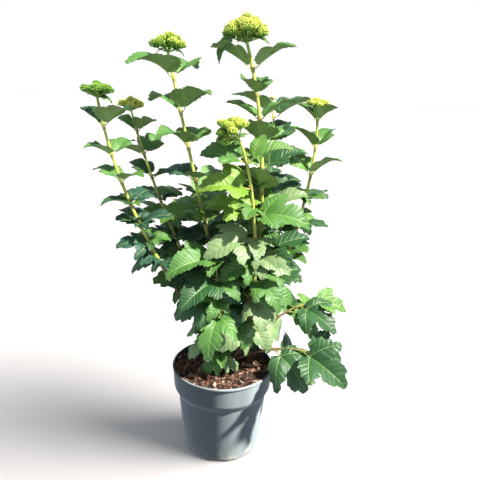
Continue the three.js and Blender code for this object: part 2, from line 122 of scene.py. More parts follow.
# The tones are the greens that a shoot's leaves take, again near its tip and near its foot. The blue tone is
# painted shade, the deep tone is partly the darker green of older leaves and partly painted shade, and the pale
# tone is partly a painted sheen of sunlit leaves.
SHOOTS = {
    "centre": dict(
        seed=453, route=[(25, -5, 236), (66, -34, 360), (103, -18, 655), (33, -6, 880)], radii=(5.2, 2.4),
        bare=0.1, pairs=11, neck=54, steps=(47, 46), turn=176, cross=76, blade=(56, 104), pitch=(37, 45),
        bend=(23, 38), head=82, tones=("bright mid mid", "bright pale deep mid"),
    ),
    "left_tall": dict(
        seed=488, route=[(15, 0, 238), (-24, 11, 447), (-74, 16, 650), (-118, 22, 858)], radii=(4.6, 2.2),
        bare=0.15, pairs=8, neck=50, steps=(68, 69), turn=69, cross=71, blade=(83, 97), pitch=(42, 17),
        bend=(50, 62), head=56, tones=("mid bright mid", "deep blue"),
    ),
    "right": dict(
        seed=428, route=[(25, 2, 231), (141, 39, 377), (199, 68, 634), (187, 84, 752)], radii=(4.6, 2.0),
        bare=0.42, pairs=6, neck=21, steps=(57, 57), turn=130, blade=(67, 60), pitch=(49, 25), bend=(26, 44),
        head=34, tones=("bright fresh mid", "mid bright deep"),
    ),
    "far_left": dict(
        seed=341, route=[(9, -3, 224), (-84, -42, 347), (-204, -80, 571), (-222, -112, 773)],
        radii=(4.6, 2.0), bare=0.36, pairs=7, neck=53, steps=(53, 41), turn=-30, blade=(49, 65),
        pitch=(42, 34), bend=(25, 82), head=48, tones=("mid deep mid", "blue deep mid"),
    ),
    "left": dict(
        seed=51, route=[(12, 4, 232), (-81, 49, 400), (-160, 70, 563), (-210, 98, 744)], radii=(4.4, 2.0),
        bare=0.22, pairs=8, neck=47, steps=(52, 45), turn=151, blade=(60, 76), pitch=(36, 23), bend=(19, 40),
        head=40, tones=("mid deep bright", "blue deep mid"),
    ),
    "back": dict(
        seed=100, route=[(22, 6, 236), (59, 75, 409), (122, 119, 571), (95, 168, 774)], radii=(4.0, 1.6),
        bare=0.2, pairs=7, neck=45, steps=(58, 77), turn=2, cross=40, blade=(78, 100), pitch=(45, 23),
        bend=(35, 46), head=14, tones=("bright mid deep", "deep mid blue"),
    ),
    "front_left": dict(
        seed=590, route=[(16, -6, 227), (8, -42, 290), (-12, -70, 380), (-14, -72, 470)], radii=(3.6, 2.0),
        bare=0.26, pairs=4, neck=2, steps=(45, 33), turn=20, cross=48, blade=(92, 89), pitch=(14, -4),
        bend=(60, 84), sunny=(0.4, 0.8), tones=("mid deep pale", "mid deep"),
    ),
    "front_right": dict(
        seed=249, route=[(21, -7, 219), (86, -45, 282), (68, -80, 632), (23, -90, 708)], radii=(4.2, 2.1),
        bare=0.19, pairs=8, neck=48, steps=(52, 49), turn=-8, cross=26, blade=(78, 112), pitch=(26, -8),
        bend=(44, 80), sunny=(0.5, 1.2), lobing=(0.6, 1), head=46, tilt=(-50, 8),
        tones=("bright fresh mid", "pale mid pale"),
    ),
    "back_left": dict(
        seed=70, route=[(14, 7, 220), (-8, 70, 310), (-50, 128, 420), (-52, 136, 540)], radii=(3.8, 2.0),
        bare=0.24, pairs=6, neck=13, steps=(49, 48), turn=79, cross=78, blade=(104, 96), pitch=(47, 2),
        bend=(21, 50), tones=("deep mid bright", "deep blue mid"),
    ),
    "back_right": dict(
        seed=286, route=[(23, 6, 222), (70, 52, 300), (140, 96, 380), (142, 100, 500)], radii=(3.8, 2.0),
        bare=0.26, pairs=4, neck=22, steps=(57, 49), turn=17, cross=79, blade=(54, 83), pitch=(35, 14),
        bend=(28, 62), tones=("mid bright deep", "deep blue mid"),
    ),
    "back_low": dict(
        seed=562, route=[(16, 7, 206), (24, 50, 262), (26, 104, 320), (28, 118, 392)], radii=(3.4, 2.0),
        bare=0.3, pairs=3, neck=26, steps=(52, 50), turn=162, cross=72, blade=(95, 106), pitch=(40, -11),
        bend=(19, 68), tones=("mid deep bright", "deep mid blue"),
    ),
    "right_low": dict(
        seed=596, route=[(20, -2, 213), (64, -12, 258), (112, 10, 330), (200, 14, 348)], radii=(3.2, 1.8),
        bare=0.35, pairs=3, neck=5, steps=(30, 32), turn=0, cross=61, blade=(63, 91), pitch=(-10, -2),
        bend=(27, 60), lobing=(0.9, 1), sunny=(0.6, 0.6), follow=1.1, tones=("bright", "mid bright deep"),
    ),
    "right_foot": dict(
        seed=318, route=[(16, -5, 203), (70, -22, 246), (130, -38, 268), (192, -58, 262)], radii=(3.2, 1.9),
        bare=0.4, pairs=2, neck=24, steps=(61, 61), turn=0, cross=110, blade=(92, 102), pitch=(-15, -24),
        bend=(38, 70), lobing=(1, 1), sunny=(1.4, 1.0), follow=1, tones=("deep", "deep"),
    ),
    "left_low": dict(
        seed=451, route=[(7, -6, 210), (-10, -28, 262), (-28, -38, 310), (-48, -40, 352)], radii=(3.0, 1.7),
        bare=0.4, pairs=3, neck=5, steps=(44, 33), turn=7, cross=85, blade=(54, 62), pitch=(12, -14),
        bend=(34, 59), lobing=(0.9, 1), tones=("bright blue mid", "pale deep"),
    ),
    "front_low": dict(
        seed=84, route=[(10, -7, 202), (6, -24, 218), (-6, -34, 236), (-12, -40, 254)], radii=(2.4, 1.4),
        bare=0.3, pairs=2, neck=3, steps=(24, 24), turn=130, blade=(42, 46), pitch=(1, -30), bend=(30, 62),
        lobing=(0.9, 1), tones=("pale bright mid", "pale mid bright"),
    ),
}

# How each head looks: its size beside the imported one, how high its middle domes up, how ripe its buds are,
# from 0 green to 1 yellow, and how that yellow grows along x, y and z, towards the top and the sunlit right and
# front, which is partly painted light, how far above the stem's tip its rays start, and how much larger the
# pair of leaves under it is. A bract is a small leaf at its foot: its direction, how far out and up it starts
# in parts of the head's size, its pitch and its length.
HEAD_LOOK = dict(size=1, dome=0.62, crown=1.15, stalk=0, slope=(0.2, -0.2, 0.3), bracts=[])
HEAD_LOOKS = {
    "centre": dict(
        dome=0.92, stalk=-3, ripe=0.4, slope=(0.15, -0.5, 0.25), crown=1.3,
        bracts=[(186, 0.36, 0.1, -42, 0.66), (-12, 0.1, 0.12, 4, 0.46), (110, 0.2, 0.14, 10, 0.34)],
    ),
    "front_right": dict(
        size=1.35, dome=1.1, crown=0.95, ripe=0.5, slope=(0.9, -0.3, 0.2),
        bracts=[(205, 0.1, -0.05, -48, 0.5), (8, 0.05, 0.05, 38, 0.4)],
    ),
    "left_tall": dict(
        size=1.1, dome=0.88, ripe=0.1, slope=(0.4, -0.3, 0.5), crown=1.05,
        bracts=[(-8, 0.2, 0.08, -2, 0.42), (170, 0.15, 0.1, 6, 0.3)],
    ),
    "right": dict(size=1.25, dome=0.85, ripe=0.5, stalk=5, crown=0.85),
    "far_left": dict(size=1.08, dome=0.65, ripe=-0.25, crown=1.3, bracts=[(-4, 0.16, 0.02, -6, 0.46)]),
    "left": dict(size=1.25, dome=0.85, ripe=0.9, crown=0.95),
    "back": dict(ripe=0.5),
}

LEAF_MATERIALS = ["leaf_" + kind for kind in "fresh bright mid deep blue pale back rib".split()]

# --- numbers ---


def chance(seed, count):
    """A number from 0 to 1 that depends only on the shoot's seed and on a running count."""
    return (sin(seed * 127.1 + count * 311.7) * 43758.5453) % 1


def spread(seed, count, width):
    return (chance(seed, count) - 0.5) * width


def mix(pair, share):
    return pair[0] + (pair[1] - pair[0]) * share


def unit(vector):
    return vector / np.linalg.norm(vector, axis=-1, keepdims=True)


def smoothstep(x, low, high):
    t = np.clip((x - low) / (high - low), 0, 1)
    return t * t * (3 - 2 * t)


def turned(vector, axis, angle):
    """The vector turned about a unit axis by an angle in radians."""
    return (
        vector * cos(angle)
        + np.cross(axis, vector) * sin(angle)
        + axis * np.dot(axis, vector) * (1 - cos(angle))
    )


def bezier(handles, t):
    """The points at t on a Bezier curve of any degree."""
    last = len(handles) - 1
    t = np.asarray(t, float)[..., None]
    return sum(comb(last, i) * (1 - t) ** (last - i) * t**i * h for i, h in enumerate(handles))


class Route:
    """A Bezier curve measured by its length."""

    def __init__(self, handles):
        self.handles = np.array(handles, float)
        self.marks = np.linspace(0, 1, 201)
        steps = np.diff(bezier(self.handles, self.marks), axis=0)
        self.lengths = np.concatenate([[0], np.cumsum(np.linalg.norm(steps, axis=1))])
        self.length = self.lengths[-1]

    def mark(self, share):
        return np.interp(np.asarray(share) * self.length, self.lengths, self.marks)

    def point(self, share):
        return bezier(self.handles, self.mark(share))

    def axes(self, share):
        """The direction of growth, and two directions square to it that turn with it without twisting."""
        along = unit(bezier(np.diff(self.handles, axis=0), self.mark(share)))
        across = unit(np.cross((0, 1, 0.2), along))
        return along, across, np.cross(along, across)


# --- meshes, in millimetres ---


class Build:
    """Gathers the points and faces of one piece. A face has a material, and a point has two marks: how much
    it lies on a vein, and how far it is from the foot of its leaf."""

    def __init__(self):
        self.points, self.faces, self.materials, self.marks = [], [], [], []
        self.count = 0

    def add(self, points, faces, material, marks=0.0):
        """Faces are one array or a list of them, with one material for all or a list that goes along."""
        points = np.asarray(points, float).reshape(-1, 3)
        groups = faces if isinstance(faces, list) else [faces]
        kinds = material if isinstance(material, list) else [material] * len(groups)
        for group, kind in zip(groups, kinds):
            self.faces += (np.asarray(group) + self.count).tolist()
            self.materials += np.broadcast_to(kind, len(group)).tolist()
        self.points.append(points)
        self.marks.append(np.broadcast_to(marks, (len(points), 2)))
        self.count += len(points)

    def make(self, name, materials, slot, node, sharp=60):
        mesh = bpy.data.meshes.new(name)
        mesh.from_pydata((np.concatenate(self.points) * MM).tolist(), [], self.faces)
        for material in materials:
            mesh.materials.append(MATERIALS[material])
        mesh.polygons.foreach_set("material_index", [materials.index(kind) for kind in self.materials])
        mesh.validate()
        mesh.shade_smooth()
        mesh.set_sharp_from_angle(angle=radians(sharp))
        marks = np.concatenate(self.marks).astype(np.float32)
        for column, title in enumerate(("vein", "reach")):
            mesh.attributes.new(title, "FLOAT", "POINT").data.foreach_set("value", marks[:, column].copy())
        piece = new_object(name, mesh)
        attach(piece, "root")
        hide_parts(node)


def angles(sides):
    return np.arange(sides) * 2 * pi / sides


def ring_walls(rings, sides):
    """The faces between neighbouring rings of points, the first ring's corners, and the corner after each."""
    corner = np.arange(sides)
    after = (corner + 1) % sides
    ring = (np.arange(rings - 1) * sides)[:, None]
    walls = np.stack([ring + corner, ring + after, ring + sides + after, ring + sides + corner], -1)
    return walls.reshape(-1, 4), corner, after


def drum_faces(rings, sides):
    """The walls, the foot and the top of a closed stack of rings."""
    walls, corner, _ = ring_walls(rings, sides)
    return [walls, corner[::-1][None], corner[None] + (rings - 1) * sides]


BOX_CORNERS = np.array([[x, y, z] for x in (-1, 1) for y in (-1, 1) for z in (-1, 1)], float)
BOX_FACES = np.array([[0, 1, 3, 2], [4, 6, 7, 5], [0, 4, 5, 1], [2, 3, 7, 6], [0, 2, 6, 4], [1, 5, 7, 3]])


def tube(centres, across, beside, radii, sides):
    """A closed tube round a line of centres, with a radius for each ring or for each point of each ring."""
    angle = angles(sides)
    radii = np.broadcast_to(np.asarray(radii, float).reshape(len(centres), -1), (len(centres), sides))
    spokes = np.cos(angle)[:, None] * across[:, None] + np.sin(angle)[:, None] * beside[:, None]
    points = centres[:, None] + radii[..., None] * spokes
    return points.reshape(-1, 3), drum_faces(len(centres), sides)


def along_line(build, points, radii, sides, material):
    """A tube through a few points, square to its own direction at each."""
    points = np.asarray(points, float)
    along = unit(np.gradient(points, axis=0))
    across = unit(np.cross(along, (0.31, 0.87, 0.38)))
    made, faces = tube(points, across, np.cross(along, across), radii, sides)
    build.add(made, faces, material)


def icosphere(cuts):
    mesh = bpy.data.meshes.new("ball")
    shape = bmesh.new()
    bmesh.ops.create_icosphere(shape, subdivisions=cuts, radius=1)
    shape.to_mesh(mesh)
    shape.free()
    points = np.array([v.co for v in mesh.vertices])
    faces = np.array([p.vertices for p in mesh.polygons])
    bpy.data.meshes.remove(mesh)
    return points, faces


BALL = {cuts: icosphere(cuts) for cuts in (1, 2)}


def axes_round(direction):
    """Three unit axes as rows, the last along the direction."""
    direction = unit(np.asarray(direction, float))
    side = unit(np.cross(direction, (0.37, 0.81, 0.46)))
    return np.array([side, np.cross(direction, side), direction])


def ball(build, centre, radii, direction, material, cuts=1):
    points, faces = BALL[cuts]
    build.add(centre + (points * radii) @ axes_round(direction), faces, material)


# --- the leaf ---

# Half of a leaf's edge from its tip back to the stalk, in stretches: where each ends, its number of teeth
# and its bulge, each for a plain leaf and for a lobed one, then the rib that its veins start from, and where
# on it the first and the last one start.
TIP = (1.0, 0.0)
STRETCHES = [
    (((0.71, 0.22), (0.7, 0.29)), (4, 2), (0.03, 0.0), "middle", (0.95, 0.44)),
    (((0.49, 0.32), (0.42, 0.18)), (2, 1), (0.02, -0.01), "middle", (0.44, 0.2)),
    (((0.34, 0.4), (0.45, 0.59)), (2, 2), (0.02, 0.01), "side", (0.24, 0.95)),
    (((0.02, 0.24), (-0.06, 0.28)), (4, 3), (0.045, 0.06), "side", (0.95, 0.12)),
    (((0.0, 0.012), (0.0, 0.012)), (2, 1), (0.05, 0.04), "hub", (0, 0)),
]
LOBES = (1, 2)  # the stretches whose ends are the notch before a side lobe and its tip, which differ by leaf
# The points of a tooth: how far along it, how far outwards, and how much on a vein.
TOOTH = [(0.1, -0.15, 0.0), (0.36, 1.0, 1.0), (0.6, 0.6, 0.0), (0.85, 0.15, 0.85)]
TOOTH_SIZE = (0.018, 0.05)
RIB_WIDTH = 0.0065
RINGS = [0.0, None, 0.3, 0.65, 1.0]  # of the way from rib to edge; the second ring bounds the rib itself
VARIANTS = 4
LEVELS = 5  # of lobing, above the plain leaf


def half_leaf(lobing, seed):
    """Rows of (edge point, rib point, rib mark) round half a leaf, from its tip back to its stalk."""
    ends = [np.array(TIP)]
    for i, stretch in enumerate(STRETCHES):
        shift = np.array([spread(seed, i, 0.05), spread(seed, i + 10, 0.05)]) if i in LOBES else 0
        ends.append(mix(np.array(stretch[0]), lobing) + shift)
    side_tip = ends[3]

    def on_rib(rib, place):
        if rib == "middle":
            return np.array([place, 0.0])
        if rib == "side":
            return side_tip * place + np.array([-0.03, 0.02]) * sin(pi * place)
        return np.zeros(2)

    rows = []
    for i, (_, teeth, bulge, rib, veins) in enumerate(STRETCHES):
        a, b = ends[i], ends[i + 1]
        way = b - a
        outward = np.array([way[1], -way[0]]) / np.linalg.norm(way)
        if i == 2:
            rows.append((a, np.zeros(2), 0.0))
        rows.append((a, on_rib(rib, mix(veins, 0)), 1.0 if i in (0, 3) else 0.0))
        teeth = round(mix(teeth, lobing))
        for m in range(teeth):
            size = mix(TOOTH_SIZE, lobing) * (0.7 + 0.6 * chance(seed, 20 + 10 * i + m))
            for along, out, mark in TOOTH:
                t = (m + along) / teeth
                off = out * size + mix(bulge, lobing) * 4 * t * (1 - t)
                rows.append((a + way * t + outward * off, on_rib(rib, mix(veins, t)), mark))
    rows.append((ends[-1], np.zeros(2), 0.0))
    return rows


def leaf_pattern(lobing, variant):
    """A flat leaf of unit length: its points, their way out from rib to edge, their marks, and its faces."""
    points, faces, on_ribs = [], [], []
    for mirror in (1, -1):
        rows = half_leaf(lobing, 7 * variant + mirror)
        first = len(points)
        for edge, rib, mark in rows:
            reach = max(np.linalg.norm(edge - rib), 1e-6)
            for share in RINGS:
                s = min(RIB_WIDTH / reach, 0.25) if share is None else share
                x, y = rib + (edge - rib) * s
                points.append((x, y * mirror, s, mark))
        rings = len(RINGS)
        for row in range(len(rows) - 1):
            for k in range(rings - 1):
                a = first + row * rings + k
                quad = [a, a + 1, a + rings + 1, a + rings]
                faces.append(quad if mirror == 1 else quad[::-1])
                on_ribs.append(k == 0)
    points = np.array(points)
    _, keep, where = np.unique(np.round(points[:, :2], 5), axis=0, return_index=True, return_inverse=True)
    where = where.reshape(-1)
    x, y, out, mark = points[keep].T
    edge = out > 0.999
    triangles, kinds = [], []
    for face, on_rib in zip(where[np.array(faces)], on_ribs):
        for corners in (face[[0, 1, 2]], face[[0, 2, 3]]):
            if len(set(corners.tolist())) == 3 and not edge[corners].all():
                triangles.append(corners)
                kinds.append(on_rib)
    faces, on_rib = np.array(triangles), np.array(kinds)
    return Values(x=x, y=y, out=out, mark=mark, edge=edge, faces=faces, on_rib=on_rib)


PATTERNS = {
    (level, variant): leaf_pattern(level / LEVELS, variant)
    for level in range(LEVELS + 1) for variant in range(VARIANTS)
}


def vertex_normals(points, faces):
    a, b, c = points[faces[:, 0]], points[faces[:, 1]], points[faces[:, 2]]
    face_normals = np.cross(b - a, c - a)
    normals = np.zeros_like(points)
    for k in range(3):
        np.add.at(normals, faces[:, k], face_normals)
    return normals / np.maximum(np.linalg.norm(normals, axis=1, keepdims=True), 1e-12)


def bent(leaf, x, y):
    """Where a point of the blade lies once it is folded and bent over, in parts of its length."""
    turn = np.maximum(leaf.bend * np.maximum(x, 0), 1e-3)
    reach = np.where(x > 0, np.sin(turn) / turn * x, x)
    sag = np.where(x > 0, (1 - np.cos(turn)) / turn * x, 0)
    rise = leaf.fold * np.abs(y) - LEAF.cup * y * y
    return reach, y, rise - sag


def placed(leaf, x, y, z):
    axes = np.array([leaf.ahead, leaf.aside, leaf.up])
    return leaf.base + leaf.length * np.stack([x, y, z], -1) @ axes


def add_leaf(build, leaf, tone, seed, count):
    """A thin closed leaf with pleats between its veins, its lobes a little bent each in its own way."""

    def vary(kind, title):
        return mix(LEAF_PLAY[title], chance(seed, count + 100 * kind))

    level = round(min(leaf.lobing, 1) * LEVELS)
    pattern = PATTERNS[level, int(chance(seed, count + 3000) * VARIANTS)]
    x, y, out, mark = pattern.x, pattern.y, pattern.out, pattern.mark
    hang = mix((0.25, 1.0), leaf.down) * np.where(y > 0, vary(20, "hang"), vary(21, "hang"))
    droop = hang * np.maximum(np.abs(y) - 0.16, 0) ** 2 * 2
    curl = vary(22, "curl") * np.maximum(x - 0.6, 0) ** 2
    wave = vary(23, "wave") * np.sin(x * 15 + vary(24, "phase")) * smoothstep(np.abs(y), 0.05, 0.4)
    pleat = vary(25, "pleat") * (1 - mark) * np.sin(pi * np.clip(out, 0, 1) ** 0.8 * 0.86)
    swing = vary(26, "swing") * x * x * smoothstep(x, 0.1, 1)
    bx, by, bz = bent(leaf, x, y + swing)
    twist = vary(27, "twist") * smoothstep(x, 0.1, 1.1)
    by, bz = by * np.cos(twist) - bz * np.sin(twist) * 0.4, bz + by * np.sin(twist)
    top = placed(leaf, bx, by, bz + pleat + wave - droop - curl)
    faces = pattern.faces
    normals = vertex_normals(top, faces)
    thickness = LEAF.thickness + LEAF.rib_extra * mark * (out < 0.9)
    below = top - normals * np.where(pattern.edge, 0, thickness)[:, None]
    lower = np.flatnonzero(~pattern.edge)
    place = np.arange(len(top))
    place[lower] = len(top) + np.arange(len(lower))
    under = place[faces][:, ::-1]
    points = np.concatenate([top, below[lower]])
    marks = np.stack([mark, np.clip(np.hypot(x, y), 0, 1)], -1)
    greens = [np.where(pattern.on_rib, "leaf_rib", "leaf_" + green) for green in (tone, "back")]
    build.add(points, [faces, under], greens, np.concatenate([marks, marks[lower]]))


# --- the growth rule ---


def pair_depth(shoot, pair):
    """How far below the shoot's tip a pair of leaves sits."""
    last = max(shoot.pairs - 1, 1)
    return shoot.neck + sum(mix(shoot.steps, i / last) for i in range(pair))


def leaf_of(shoot, route, pair, side, extra_turn, share, lower=0.0):
    """The leaf on one side of one pair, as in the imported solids, or a further one that starts off it."""
    at = 1 - (pair_depth(shoot, pair) + lower) / route.length
    down = pair / max(shoot.pairs - 1, 1)
    count = pair * 2 + side
    seed = shoot.seed
    along, across, beside = route.axes(at)
    turn = radians(
        shoot.turn + (pair % 2) * shoot.cross + side * 180 + extra_turn
        + spread(seed, count, LEAF.turn_spread)
    )
    level = across * cos(turn) + beside * sin(turn) + along * shoot.follow
    level[2] = 0
    pitch = radians(mix(shoot.pitch, down) + spread(seed, count + 100, LEAF.pitch_spread))
    ahead = unit(level) * cos(pitch) + UP * sin(pitch)
    aside = unit(np.cross((0.1, -mix(shoot.sunny, down), 1), ahead))
    aside = turned(aside, ahead, radians(spread(seed, count + 200, mix(LEAF.roll_spread, down))))
    length = mix(shoot.blade, down) * share * (1 + spread(seed, count + 300, LEAF.size_spread))
    node = route.point(at)
    return Values(
        node=node, base=node + ahead * LEAF.petiole * length, length=length,
        ahead=ahead, aside=aside, up=np.cross(ahead, aside), bend=radians(mix(shoot.bend, down)),
        fold=mix(shoot.fold, down), lobing=mix(shoot.lobing, down), down=down, count=count, at=at,
    )


def leaf_tip(leaf):
    return placed(leaf, *bent(leaf, np.array(1.0), np.array(0.0)))


def solid_points(name):
    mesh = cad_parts[name].data
    points = np.zeros(len(mesh.vertices) * 3)
    mesh.vertices.foreach_get("co", points)
    return points.reshape(-1, 3) / MM


def kept_leaves(shoot, route, corners):
    """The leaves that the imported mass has, each placed the way its solid makes room."""
    for pair in range(shoot.pairs):
        for side in (0, 1):
            for extra_turn, share in LEAF_CHOICES:
                leaf = leaf_of(shoot, route, pair, side, extra_turn, share)
                if np.linalg.norm(corners - leaf_tip(leaf), axis=1).min() < 0.3:
                    yield pair, side, leaf
                    break


def tone_of(shoot, leaf, seed):
    low = leaf.down + spread(seed, leaf.count + 800, 0.3) > 0.5
    tones = shoot.tones[int(low)].split()
    return tones[int(chance(seed, leaf.count + 900) * len(tones))]


STEM_MATERIALS = ["stem", "stem_node", "stem_old", "stem_green"]


def is_cane(shoot):
    """Whether a shoot is one of the tall yellow canes and not a low green side shoot."""
    return shoot.route[-1][2] > STEM.cane_top


def young_stem(shoot):
    return "stem" if is_cane(shoot) else "stem_green"


def add_petiole(build, leaf, shoot):
    """The stalk leaves the stem, dips a little and meets the blade at its hub."""
    length = LEAF.petiole * leaf.length
    shares = np.linspace(0, 1, 6)
    sag = -0.05 * length * np.sin(shares * pi)
    points = leaf.node + np.outer(shares * 1.03, leaf.base - leaf.node) + np.outer(sag, UP)
    radii = np.interp(shares, [0, 0.15, 0.6, 1], [1.9, 1.25, 1.0, 1.1]) * (0.75 + leaf.length / 320)
    along_line(build, points, radii, 7, young_stem(shoot))


def add_bud(build, leaf, route):
    """A scaly bud in the leaf's axil."""
    along, _, _ = route.axes(leaf.at)
    way = unit(along + leaf.ahead * 0.6)
    centre = leaf.node + way * 5.5 + leaf.ahead * 1.6
    ball(build, centre, np.array([1.6, 1.6, 3.6]), way, "stem_node")


def add_stem(build, shoot, route, first):
    """A faintly ridged stem that swells at each pair of leaves, and is older near its foot."""
    rings = max(int(route.length * (1 - first) / 4), 12)
    shares = np.linspace(first, 1, rings)
    nodes = 1 - np.array([pair_depth(shoot, p) for p in range(shoot.pairs)]) / route.length

    def from_node(share):
        return np.abs(share[:, None] - nodes[None]).min(axis=1) * route.length

    sides = STEM.sides
    swell = 1 + STEM.swell * np.exp(-((from_node(shares) / STEM.swell_reach) ** 2))
    ridge = 1 + STEM.ridge * np.cos(angles(sides) * 6)
    radii = (mix(shoot.radii, shares) * STEM.over * swell)[:, None] * ridge[None]
    _, across, beside = route.axes(shares)
    points, faces = tube(route.point(shares), across, beside, radii, sides)
    middle = (shares[1:] + shares[:-1]) / 2
    old = (0.42 if is_cane(shoot) else 0.8) + 0.05 * np.sin(middle * 90 + shoot.seed)
    bark = np.where(from_node(middle) < STEM.node_reach, "stem_node", young_stem(shoot))
    bark = np.where(middle < old, "stem_old", bark)
    build.add(points, faces, [np.repeat(bark, sides), "stem", "stem"])


def add_further_leaves(leaves, stems, shoot, route, pair, side, leaf):
    """Smaller leaves from the axils of the crowded lower pairs, square to the pair and inside its reach."""
    seed = shoot.seed
    if leaf.node[2] > FURTHER.top or shoot.pairs < FURTHER.pairs:
        return
    for twin in (0, 1):
        count = leaf.count + 40 * (twin + 1)
        size = mix(FURTHER.size, chance(seed, count + 500))
        turn = (FURTHER.turn if twin else -FURTHER.turn) + spread(seed, count + 600, FURTHER.turn_spread)
        small = leaf_of(shoot, route, pair, side, turn, size, FURTHER.drop[twin])
        small.fold = FURTHER.fold
        add_leaf(leaves, small, tone_of(shoot, small, seed + twin), seed + twin, count)
        add_petiole(stems, small, shoot)


# --- flower heads ---

BLOSSOM_MATERIALS = ["bud_light", "bud", "bud_deep", "ray"]
GOLDEN_ANGLE = pi * (3 - sqrt(5))


def dome_points(number, lowest):
    """Evenly spread directions from the top of a ball down to a height."""
    height = 1 - (np.arange(number) + 0.5) / number * (1 - lowest)
    ring = np.sqrt(1 - height**2)
    angle = np.arange(number) * GOLDEN_ANGLE
    return np.stack([ring * np.cos(angle), ring * np.sin(angle), height], -1)


def add_knot(build, centre, radius, bud, ripe):
    """A small uneven dome of round buds on a darker heart, the top buds lighter yellow, partly as riper buds
    and partly as painted light on the sunlit top.
    """
    flat = np.array([1, 1, 0.8])
    ball(build, centre - UP * radius * 0.1, radius * flat * 0.62, UP, "bud_deep", 2)
    number = max(int(KNOT.density * (radius / bud) ** 2), KNOT.fewest)
    for spot in dome_points(number, KNOT.lowest):
        out = unit(spot + rng.normal(0, 0.1, 3))
        place = centre + out * flat * radius * rng.uniform(*KNOT.depth)
        size = bud * rng.uniform(*KNOT.bud)
        # Painted light in part: buds nearer the knot's top are made lighter.
        ripeness_and_top_light = ripe + 0.3 * (spot[2] - 0.2) + rng.normal(0, 0.15)
        tone = "bud_light" if ripeness_and_top_light > KNOT.ripe[1] else "bud" if ripeness_and_top_light > KNOT.ripe[0] else "bud_deep"
        ball(build, place, np.array([size, size, size * 1.15]), out, tone)


def head_knots(shoot, look, hub):
    """The middle and radius of each knot of a head."""
    lean, swing = (radians(angle) for angle in shoot.tilt)
    tilt = np.array(Matrix.Rotation(swing, 3, "X") @ Matrix.Rotation(lean, 3, "Y"))
    for r, (knots, out, up, radius) in enumerate(HEAD_RINGS + FILL_RINGS):
        dome = look.dome if out < 0.3 else 1
        for i in range(knots):
            angle = (i + 0.5 * r) * 2 * pi / knots + shoot.seed
            size = shoot.head * look.size * (1 + spread(shoot.seed, 400 + 10 * r + i, 0.14))
            rise = up * dome + spread(shoot.seed, 500 + 10 * r + i, 0.12)
            reach = np.array([cos(angle) * out, sin(angle) * out, rise])
            wide = radius * (1 + spread(shoot.seed, 600 + 10 * r + i, 0.3))
            yield hub + tilt @ reach * size, shoot.head * look.size * wide


def head_foot(look, route):
    """Where a head's rays start: at the stem's tip, or on a stalk above it."""
    return route.point(1.0) + UP * look.stalk


def add_head(build, shoot, look, route):
    hub, head = head_foot(look, route), shoot.head * look.size
    if head < BUD_HEAD:
        for i in range(3):
            reach = np.array([cos(2.1 * i), sin(2.1 * i), 0.4 + 0.3 * i]) * head * 0.26
            add_knot(build, hub + reach, head * 0.28, max(head * 0.05, 0.9), look.ripe)
        return
    bud = 0.95 + head / 220
    ball(build, hub, np.array([2.6, 2.6, 3.4]), UP, "ray", 2)
    if look.stalk:
        along_line(build, [route.point(0.99), (route.point(1.0) + hub) / 2, hub], [1.9, 1.5, 1.5], 8, "ray")
    for centre, radius in head_knots(shoot, look, hub):
        # The buds' yellow grows towards the top and the sunlit side: partly riper buds, partly painted light.
        ripe = look.ripe + (centre - hub) / head @ np.array(look.slope)
        add_knot(build, centre, radius, bud, ripe)
        foot = centre - UP * radius * 0.35
        bow = Route([hub, hub + (foot - hub) * 0.55 - UP * radius * 0.18, foot])
        along_line(build, bow.point(np.linspace(0, 1, 7)), np.linspace(1.15, 0.95, 7), 7, "ray")
        fork = hub + (foot - hub) * 0.72 - UP * radius * 0.05
        for spot in dome_points(7, 0.1):
            end = centre + spot * np.array([1, 1, 0.5]) * radius * 0.75
            middle = (fork + end) / 2 - UP * radius * 0.08
            along_line(build, [fork, middle, end], [0.7, 0.6, 0.55], 5, "ray")


def add_bracts(leaves, stems, shoot, look, route):
    """A few small leaves stand under a flower head."""
    hub, head = head_foot(look, route), shoot.head
    for k, (turn, out, rise, pitch, size) in enumerate(look.bracts):
        turn, pitch = radians(turn), radians(pitch)
        level = np.array([cos(turn), sin(turn), 0])
        ahead = level * cos(pitch) + UP * sin(pitch)
        aside = unit(np.cross((0.1, -0.3, 1), ahead))
        leaf = Values(
            base=hub + (level * out + UP * rise) * head, length=head * size, ahead=ahead, aside=aside,
            up=np.cross(ahead, aside), bend=radians(50), fold=0.35, lobing=0.5, down=0.3,
        )
        add_leaf(leaves, leaf, "bright" if k else "mid", shoot.seed, 700 + k)
        stalk = [hub, (hub + leaf.base) / 2 - UP, leaf.base + ahead * 0.5]
        along_line(stems, stalk, [1.0, 0.9, 0.9], 6, "stem")


# --- materials ---


def linear(hex_colour):
    """A colour such as 4f8a34 in linear light."""
    parts = [int(hex_colour[i : i + 2], 16) / 255 for i in (0, 2, 4)]
    return [c / 12.92 if c <= 0.04045 else ((c + 0.055) / 1.055) ** 2.4 for c in parts] + [1]


